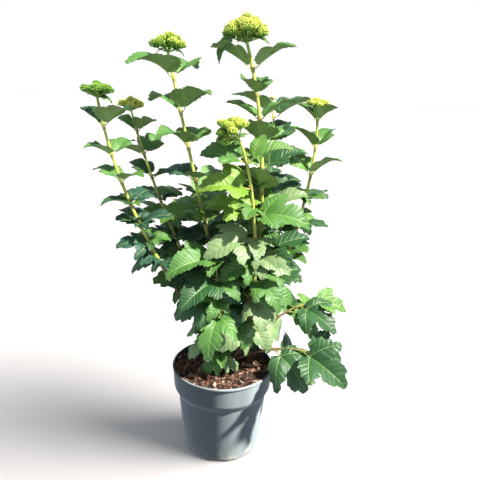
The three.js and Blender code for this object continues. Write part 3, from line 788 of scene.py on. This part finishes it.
class Nodes:
    """Builds the nodes of one material or world."""

    def __init__(self, owner):
        owner.use_nodes = True
        self.owner = owner
        self.tree = owner.node_tree
        self.place = self.node("ShaderNodeTexCoord").outputs["Object"]

    def node(self, kind, inputs=(), **settings):
        """A new node, whose inputs are each linked to a socket or set to a value."""
        made = self.tree.nodes.new(kind)
        for key, value in settings.items():
            setattr(made, key, value)
        for key, source in dict(inputs).items():
            self.link(source, made.inputs[key])
        return made

    def link(self, source, target):
        if isinstance(source, bpy.types.NodeSocket):
            self.tree.links.new(source, target)
        else:
            target.default_value = source

    def stretched(self, *scale):
        """The place in the piece, stretched by a scale for each axis."""
        return self.node("ShaderNodeMapping", {"Vector": self.place, "Scale": scale}).outputs["Vector"]

    def noise(self, scale, detail=3, rough=0.55, vector=None):
        inputs = {"Vector": vector or self.place, "Scale": scale, "Detail": detail, "Roughness": rough}
        return self.node("ShaderNodeTexNoise", inputs).outputs["Fac"]

    def ranged(self, value, low, high, to_low, to_high):
        inputs = {"Value": value, "From Min": low, "From Max": high, "To Min": to_low, "To Max": to_high}
        return self.node("ShaderNodeMapRange", inputs).outputs["Result"]

    def maths(self, operation, a, b):
        return self.node("ShaderNodeMath", {0: a, 1: b}, operation=operation).outputs[0]

    def blend(self, share, a, b):
        inputs = {"Factor": share, "A": a, "B": b}
        return self.node("ShaderNodeMix", inputs, data_type="RGBA").outputs["Result"]

    def attribute(self, name):
        return self.node("ShaderNodeAttribute", attribute_name=name).outputs["Fac"]

    def surface(self, colour, roughness, height=None, strength=0, distance=0):
        """The finished material, with its colour, its roughness and the bumps that a height gives it."""
        shader = self.tree.nodes["Principled BSDF"]
        self.link(colour, shader.inputs["Base Color"])
        self.link(roughness, shader.inputs["Roughness"])
        if height:
            inputs = {"Height": height, "Strength": strength, "Distance": distance}
            self.link(self.node("ShaderNodeBump", inputs).outputs["Normal"], shader.inputs["Normal"])
        return self.owner


def new_material(name):
    return Nodes(bpy.data.materials.new(name))


def leaf_material(name, colour, light, vein, rough=0.44):
    """Green, mottled and crinkled, with painted shade that darkens it towards the lobes' tips, and pale veins
    in shallow grooves.
    """
    n = new_material(name)
    body = n.blend(n.ranged(n.noise(55, 3), 0.35, 0.7, 0, 1), linear(colour), linear(light))
    darker = [part * 0.5 for part in linear(colour)[:3]] + [1]
    # Painted shade: the green is darkened towards the lobes' tips, where the leaf curls away from the light.
    body = n.blend(n.ranged(n.attribute("reach"), 0.45, 1.0, 0, 0.4), body, darker)
    veins = n.maths("POWER", n.attribute("vein"), 3.0)
    body = n.blend(n.maths("MULTIPLY", veins, 0.24), body, linear(vein))
    cells = n.node("ShaderNodeTexVoronoi", {"Vector": n.place, "Scale": 260}, feature="DISTANCE_TO_EDGE")
    puffed = n.ranged(cells.outputs["Distance"], 0.0, 0.35, 0, 0.22)
    shine = n.ranged(n.noise(90, 2), 0.3, 0.7, rough - 0.07, rough + 0.12)
    return n.surface(body, shine, n.maths("SUBTRACT", puffed, veins), 0.7, 0.0011)


def bark_material(name, colour, light, scale, rough=0.8):
    """Bark in long streaks with pale pores."""
    n = new_material(name)
    streak = n.noise(1, 5, 0.65, n.stretched(scale, scale, scale * 0.16))
    body = n.blend(n.ranged(streak, 0.35, 0.68, 0, 1), linear(colour), linear(light))
    body = n.blend(n.ranged(n.noise(620, 1), 0.66, 0.72, 0, 0.7), body, linear("a08d74"))
    return n.surface(body, n.ranged(streak, 0.3, 0.7, rough - 0.1, rough + 0.1), streak, 0.6, 0.0012)


def stem_material(name, colour, streak_colour, amount, rough=0.45):
    """Smooth young stem with reddish streaks that run along it."""
    n = new_material(name)
    streak = n.noise(1, 4, 0.6, n.stretched(260, 260, 22))
    body = n.blend(n.ranged(streak, 0.4, 0.72, 0, amount), linear(colour), linear(streak_colour))
    return n.surface(body, n.ranged(n.noise(160), 0.3, 0.7, rough - 0.06, rough + 0.1), streak, 0.2, 0.0006)


def bud_material(name, colour, light):
    n = new_material(name)
    body = n.blend(n.ranged(n.noise(520, 2), 0.35, 0.65, 0, 1), linear(colour), linear(light))
    return n.surface(body, n.ranged(n.noise(300), 0.3, 0.7, 0.45, 0.62), n.noise(900, 1), 0.2, 0.0004)


def soil_material(name, colour, light):
    n = new_material(name)
    grain = n.noise(260, 4, 0.65)
    body = n.blend(n.ranged(grain, 0.35, 0.65, 0, 1), linear(colour), linear(light))
    return n.surface(body, 0.9, grain, 0.8, 0.002)


def pot_material(name, colour, light):
    """Blue-grey moulded plastic with faint flow streaks, dust near the foot and fine scuffs."""
    n = new_material(name)
    flow = n.noise(1, 4, 0.6, n.stretched(34, 34, 5))
    body = n.blend(n.ranged(flow, 0.3, 0.7, 0, 1), linear(colour), linear(light))
    height = n.node("ShaderNodeSeparateXYZ", {0: n.place}).outputs["Z"]
    patches = n.ranged(n.noise(70, 4), 0.45, 0.75, 0, 0.4)
    body = n.blend(n.maths("MULTIPLY", n.ranged(height, 0.0, 0.035, 1, 0), patches), body, linear("a39c8c"))
    body = n.blend(n.ranged(n.noise(1400, 1), 0.69, 0.73, 0, 0.35), body, linear("b7bec2"))
    scuff = n.noise(1, 3, 0.5, n.stretched(70, 70, 900))
    return n.surface(body, n.ranged(scuff, 0.35, 0.7, 0.36, 0.56), n.noise(650, 2), 0.12, 0.0005)


# Each row names a material with its colours and, for some, its scale or amount and its roughness.
LOOKS = {
    leaf_material: {
        # leaf_blue is painted shade, the blue-green of leaves lit only by the sky; leaf_deep is partly the
        # darker green of older leaves and partly painted shade; leaf_pale is partly a painted sheen of glossy
        # sunlit leaves.
        "leaf_fresh": ("688f26", "7ca336", "b2cf6e"), "leaf_bright": ("568432", "689043", "9cc070"),
        "leaf_mid": ("47772f", "578540", "8fb26c"), "leaf_deep": ("2a532b", "366035", "688d5b"),
        "leaf_blue": ("204834", "2c5740", "5d8666"), "leaf_pale": ("7c9862", "92aa79", "5b7a45", 0.4),
        "leaf_back": ("859f56", "98b166", "b9c98e", 0.6),
    },
    stem_material: {
        "leaf_rib": ("8fb05c", "7b9c4c", 0.6), "stem": ("cfd666", "b39a55", 0.4),
        "stem_green": ("86a04c", "8a7a44", 0.4), "stem_node": ("a9a856", "7c5636", 0.8),
        "stem_old": ("8d7c4a", "5c4230", 0.9, 0.6), "ray": ("a3c062", "8ba04e", 0.6),
    },
    bark_material: {"bark": ("4c3a2e", "7a6552", 240), "bark_dark": ("3d2e27", "68564a", 150)},
    bud_material: {
        "bud_light": ("ccd54e", "e4e67a"), "bud": ("a0ba3e", "bfce56"), "bud_deep": ("5d8c2a", "7aa33a"),
    },
    pot_material: {"pot_plastic": ("393f46", "444b53")},
    soil_material: {
        "soil": ("1d1411", "3a2a22"), "chip_dark": ("221713", "35251d"), "chip_brown": ("4a3226", "634536"),
        "chip_red": ("6e3f31", "8d5643"), "chip_tan": ("7f6150", "9c7d68"), "chip_pale": ("9c8a75", "b8a892"),
    },
}
MATERIALS = {name: kind(name, *look) for kind, looks in LOOKS.items() for name, look in looks.items()}

# --- pot and soil ---


def pot_profile(inset):
    """The pot's outer profile from the axis to the top of its band, drawn inside the real surface."""
    p = POT
    return [
        (0, inset), (p.base, inset),
        (p.heel - 1.6 - inset * 0.9, max(inset, 2)), (p.heel - inset, p.heel_z),
        (p.shoulder - inset, p.shoulder_z),
        (p.band_foot - 1.2 - inset, p.band_foot_z - 4), (p.band_foot - inset, p.band_foot_z),
        (p.band - inset, p.height - p.lip),
    ]


def rounded(profile, reach):
    """A profile with each inner corner cut into a short bow."""
    made = [profile[0]]
    for before, corner, after in zip(profile, profile[1:], profile[2:]):
        before, corner, after = (np.array(p, float) for p in (before, corner, after))
        start, stop = (
            corner + way * min(reach / np.linalg.norm(way), 0.45) for way in (before - corner, after - corner)
        )
        made += [tuple(p) for p in bezier([start, corner, stop], np.linspace(0, 1, 4))]
    return made + [profile[-1]]


def lathed(profile, sides):
    """A closed round solid; the profile starts and ends on the axis."""
    angle = angles(sides)
    inner = np.array(profile[1:-1])
    rings = np.stack([
        inner[:, :1] * np.cos(angle), inner[:, :1] * np.sin(angle), np.repeat(inner[:, 1:], sides, axis=1)
    ], -1)
    points = np.concatenate([rings.reshape(-1, 3), [[0, 0, profile[0][1]], [0, 0, profile[-1][1]]]])
    walls, corner, after = ring_walls(len(inner), sides)
    last = (len(inner) - 1) * sides
    centre = len(points) - 2
    foot = np.stack([after, corner, np.full(sides, centre)], -1)
    top = np.stack([last + corner, last + after, np.full(sides, centre + 1)], -1)
    return points, [walls, foot, top]


def plain_object(name, points, faces):
    mesh = bpy.data.meshes.new(name)
    mesh.from_pydata((points * MM).tolist(), [], [f for group in faces for f in group.tolist()])
    return new_object(name, mesh)


def notch_block(i):
    """The space under the pot between two of its feet, with a drain hole above it."""
    turn = radians(FOOTING.turn + i * 360 / FOOTING.notches)
    out = np.array([cos(turn), sin(turn), 0])
    side = np.array([-sin(turn), cos(turn), 0])
    block = np.array([
        out * r + side * y + UP * z
        for r in (FOOTING.inner, POT.rim + 5)
        for y in (-FOOTING.width / 2, FOOTING.width / 2)
        for z in (-10, FOOTING.height)
    ])
    hole_centre = out * FOOTING.drain_at
    ends = np.array([hole_centre + UP * 3, hole_centre + UP * 40])
    hole = tube(ends, np.array([out, out]), np.array([side, side]), [FOOTING.drain] * 2, 24)
    return (block, [BOX_FACES]), hole


def cut(made, cutters):
    for cutter in cutters:
        modifier = made.modifiers.new("cut", "BOOLEAN")
        modifier.operation = "DIFFERENCE"
        modifier.solver = "EXACT"
        modifier.object = cutter
    bpy.context.view_layer.update()
    shown = made.evaluated_get(bpy.context.evaluated_depsgraph_get())
    mesh = bpy.data.meshes.new_from_object(shown)
    made.modifiers.clear()
    made.data = mesh
    for cutter in cutters:
        bpy.data.objects.remove(cutter)


def make_pot():
    p = POT
    outer = rounded(pot_profile(0), 1.6)
    lip = [
        (p.band + 0.4, p.height - p.lip + 0.4), (p.rim - 0.4, p.height - p.lip + 1.2),
        (p.rim, p.height - p.lip + 2.2), (p.rim, p.height - 2),
        (p.rim - 0.7, p.height - 0.6), (p.rim - 1.9, p.height),
        (p.band - p.wall + 0.7, p.height), (p.band - p.wall, p.height - 0.9),
    ]
    inner = [(r, z) for r, z in pot_profile(p.wall) if z > FOOTING.height]
    floor = FOOTING.height + p.wall
    inner = [(p.heel - p.wall - 3, floor)] + inner
    profile = outer + lip + inner[::-1] + [(0, floor)]
    pot = plain_object("pot_shell", *lathed(profile, p.sides))
    cutters = []
    for i in range(FOOTING.notches):
        for k, (points, faces) in enumerate(notch_block(i)):
            cutters.append(plain_object(f"cutter_{i}_{k}", points, faces))
    cut(pot, cutters)
    pot.data.materials.clear()
    pot.data.materials.append(MATERIALS["pot_plastic"])
    pot.data.polygons.foreach_set("material_index", np.zeros(len(pot.data.polygons), np.int32))
    pot.data.shade_smooth()
    pot.data.set_sharp_from_angle(angle=radians(32))
    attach(pot, "root")
    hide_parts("pot")
    return pot


def soil_height(x, y):
    ease = smoothstep(np.hypot(x - TRUNK.foot[0], y - TRUNK.foot[1]), SOIL.flat * 0.7, SOIL.flat * 1.6)
    waves = np.sin(x * 0.071 + 1.3) * np.cos(y * 0.083) + 0.6 * np.sin(x * 0.19 - y * 0.17)
    return SOIL.level + ease * SOIL.lump * waves


def soil_edge():
    rise = (SOIL.level - POT.band_foot_z) / (POT.height - POT.lip - POT.band_foot_z)
    return mix((POT.band_foot, POT.band), rise) - POT.wall - 0.3


CHIP_MATERIALS = ["soil", "chip_dark", "chip_brown", "chip_red", "chip_tan", "chip_pale"]
CHIP_SHARES = [0.2, 0.24, 0.22, 0.17, 0.11, 0.06]
CHIPS, CRUMBS = 5200, 2600


def make_soil():
    """A lumpy bed under thousands of loose chips of bark and crumbs of peat."""
    edge = soil_edge()
    rings, sides = 46, 120
    build = Build()
    radius, angle = edge * np.linspace(1, 0.02, rings), angles(sides)
    x, y = radius[:, None] * np.cos(angle), radius[:, None] * np.sin(angle)
    grain = rng.normal(0, 0.55, x.shape)
    grain[0] = 0
    tops = np.stack([x, y, soil_height(x, y) + grain - 0.6], -1)
    sunk = np.stack([x[0] * 0.99, y[0] * 0.99, np.full(sides, SOIL.level - 14)], -1)
    build.add(np.concatenate([sunk, tops.reshape(-1, 3)]), drum_faces(rings + 1, sides), "soil")
    for i in range(CHIPS + CRUMBS):
        away = sqrt(rng.uniform(0, 1)) * (edge - 3)
        way = rng.uniform(0, 2 * pi)
        px, py = away * cos(way), away * sin(way)
        if hypot(px - TRUNK.foot[0], py) < TRUNK.foot_radius:
            continue
        crumb = i >= CHIPS
        long = rng.uniform(0.7, 1.6) if crumb else rng.gamma(3.0, 0.95) + 1.0
        size = np.array([long, long * rng.uniform(0.3, 0.8), rng.uniform(0.35, 1.1)])
        shape = BOX_CORNERS * size * rng.uniform(0.62, 1.15, BOX_CORNERS.shape)
        lean = rng.normal(0, 0.45, 2)
        turn = Matrix.Rotation(rng.uniform(0, 6.28), 3, "Z") @ Matrix.Rotation(lean[0], 3, "X")
        turn = np.array(turn @ Matrix.Rotation(lean[1], 3, "Y"))
        place = np.array([px, py, float(soil_height(px, py)) + rng.uniform(-0.6, 1.3)])
        material = CHIP_MATERIALS[rng.choice(len(CHIP_MATERIALS), p=CHIP_SHARES)]
        build.add(place + shape @ turn.T, BOX_FACES, material)
    build.make("soil_bed", CHIP_MATERIALS, "soil", "soil", sharp=25)


# --- bark ---


def relief(share, angle, seed):
    """Long ridges and furrows of bark, from -1 to 1."""
    wave = np.sin(angle * 7 + 2.1 * np.sin(share * 19 + seed)) * 0.6
    return wave + 0.5 * np.sin(angle * 13 - share * 41 + seed) + 0.3 * np.sin(share * 120 + 3 * angle)


def make_trunk():
    route = Route([TRUNK.foot, TRUNK.control, TRUNK.tip])
    rings, sides = 48, 56
    shares = np.linspace(0, 1, rings)
    height = shares * (TRUNK.tip[2] - TRUNK.foot[2])
    flare = TRUNK.flare * np.exp(-3 * height / TRUNK.flare_height)
    radius = mix((TRUNK.foot_radius, TRUNK.tip_radius), shares) + flare
    crown = np.sqrt(np.clip(1 - np.maximum(shares - 0.86, 0) ** 2 / 0.14**2 * 0.75, 0, 1))
    angle = angles(sides)
    rough = 1 + 0.035 * relief(shares[:, None], angle[None], 3.0)
    roots = 1 + 0.16 * np.exp(-height[:, None] / 7) * np.maximum(np.cos(angle[None] * 5 + 1), -0.3)
    _, across, beside = route.axes(shares)
    radii = (radius * crown)[:, None] * rough * roots
    points, faces = tube(route.point(shares), across, beside, radii, sides)
    points[:, 2] = np.maximum(points[:, 2], SOIL.level - 1)
    build = Build()
    build.add(points, faces, "bark_dark")
    build.make("trunk_bark", ["bark_dark"], "bark", "trunk", sharp=70)


def make_bough(name, shoot, route):
    sides = 20
    shares = np.linspace(0, shoot.bare, max(int(route.length * shoot.bare / 2), 16))
    rough = 1 + 0.05 * relief(shares[:, None] * 3, angles(sides)[None], shoot.seed)
    radii = mix(shoot.radii, shares)[:, None] * rough
    _, across, beside = route.axes(shares)
    build = Build()
    build.add(*tube(route.point(shares), across, beside, radii, sides), "bark")
    build.make("bark_" + name, ["bark"], "bark", "bough_" + name, sharp=70)


# --- the plant ---


def make_mass(name, shoot, route):
    corners = solid_points("mass_" + name)
    leaves, stems, blossom = Build(), Build(), Build()
    add_stem(stems, shoot, route, shoot.bare)
    look = Values(**{**HEAD_LOOK, **HEAD_LOOKS.get(name, {"crown": 1})})
    for pair, side, leaf in kept_leaves(shoot, route, corners):
        if pair == 0:
            leaf.length *= look.crown
            leaf.base = mix((leaf.node, leaf.base), look.crown)
        add_leaf(leaves, leaf, tone_of(shoot, leaf, shoot.seed), shoot.seed, leaf.count)
        add_petiole(stems, leaf, shoot)
        add_bud(stems, leaf, route)
        add_further_leaves(leaves, stems, shoot, route, pair, side, leaf)
    if shoot.head:
        add_head(blossom, shoot, look, route)
        add_bracts(leaves, stems, shoot, look, route)
    rows = [("leaves_", leaves, LEAF_MATERIALS), ("stems_", stems, STEM_MATERIALS)]
    for title, build, materials in rows + [("blossom_", blossom, BLOSSOM_MATERIALS)]:
        if build.count:
            build.make(title + name, materials, "foliage", "mass_" + name)


def make_plant():
    make_trunk()
    for name, shoot in SHOOTS.items():
        shoot = Values(**{**HABIT, **shoot})
        route = Route(shoot.route)
        make_bough(name, shoot, route)
        make_mass(name, shoot, route)


# --- floor and light ---


def make_floor():
    n = new_material("floor")
    shade = n.blend(n.ranged(n.noise(2), 0.3, 0.7, 0, 1), (0.64, 0.59, 0.56, 1), (0.66, 0.61, 0.58, 1))
    mesh = bpy.data.meshes.new("floor")
    half = 40
    corners = [(-half, -half, 0), (half, -half, 0), (half, half, 0), (-half, half, 0)]
    mesh.from_pydata(corners, [], [(0, 1, 2, 3)])
    mesh.materials.append(n.surface(shade, 0.9))
    floor = new_object("floor", mesh)
    floor.location.z = -0.0004
    floor.visible_diffuse = floor.visible_glossy = False
    return floor


SUN = dict(azimuth=58, height=50, strength=9.0, softness=2.5, colour=(1.0, 0.96, 0.88))
POT_LIGHT = dict(azimuth=79, height=42, strength=68, softness=3, colour=(1.0, 0.95, 0.76))
FLOOR_LIGHT = dict(azimuth=84, height=36, strength=8.0, softness=44, colour=(1, 1, 1))
SKY = Values(light=(0.78, 0.89, 1.0, 1), below=0.95, above=0.45)


def make_sun(name, pieces, state, azimuth, height, strength, softness, colour):
    """A distant light. The state says whether these pieces are all that it lights or what it leaves out."""
    data = bpy.data.lights.new(name, "SUN")
    data.energy, data.angle, data.color = strength, radians(softness), colour
    lamp = new_object(name, data)
    turn, height = radians(azimuth), radians(height)
    way = Vector((sin(turn) * cos(height), -cos(turn) * cos(height), sin(height)))
    lamp.rotation_mode = "QUATERNION"
    lamp.rotation_quaternion = way.to_track_quat("Z", "Y")
    lit = bpy.data.collections.new("lit_by_" + name)
    for piece in pieces:
        lit.objects.link(piece)
    for member in lit.collection_objects:
        member.light_linking.link_state = state
    lamp.light_linking.receiver_collection = lit


def make_sky():
    """A soft pale sky, brighter from below, where the floor is pale. The camera sees it as plain white."""
    world = bpy.data.worlds.new("sky")
    bpy.context.scene.world = world
    world.use_nodes = True
    world.node_tree.nodes.clear()
    n = Nodes(world)
    height = n.node("ShaderNodeSeparateXYZ", {0: n.place.node.outputs["Generated"]}).outputs["Z"]
    strength = n.ranged(height, -1, 1, SKY.below, SKY.above)
    lights = n.node("ShaderNodeBackground", {"Color": SKY.light, "Strength": strength}).outputs[0]
    seen = n.node("ShaderNodeBackground", {"Color": (1, 1, 1, 1)}).outputs[0]
    by_camera = n.node("ShaderNodeLightPath").outputs["Is Camera Ray"]
    both = n.node("ShaderNodeMixShader", {0: by_camera, 1: lights, 2: seen}).outputs[0]
    n.node("ShaderNodeOutputWorld", {"Surface": both})


pot = make_pot()
make_soil()
make_plant()
floor = make_floor()
make_sun("sun", [floor, pot], "EXCLUDE", **SUN)
make_sun("pot_light", [pot], "INCLUDE", **POT_LIGHT)
make_sun("floor_light", [floor], "INCLUDE", **FLOOR_LIGHT)
make_sky()
bpy.context.scene.view_settings.view_transform = "Standard"
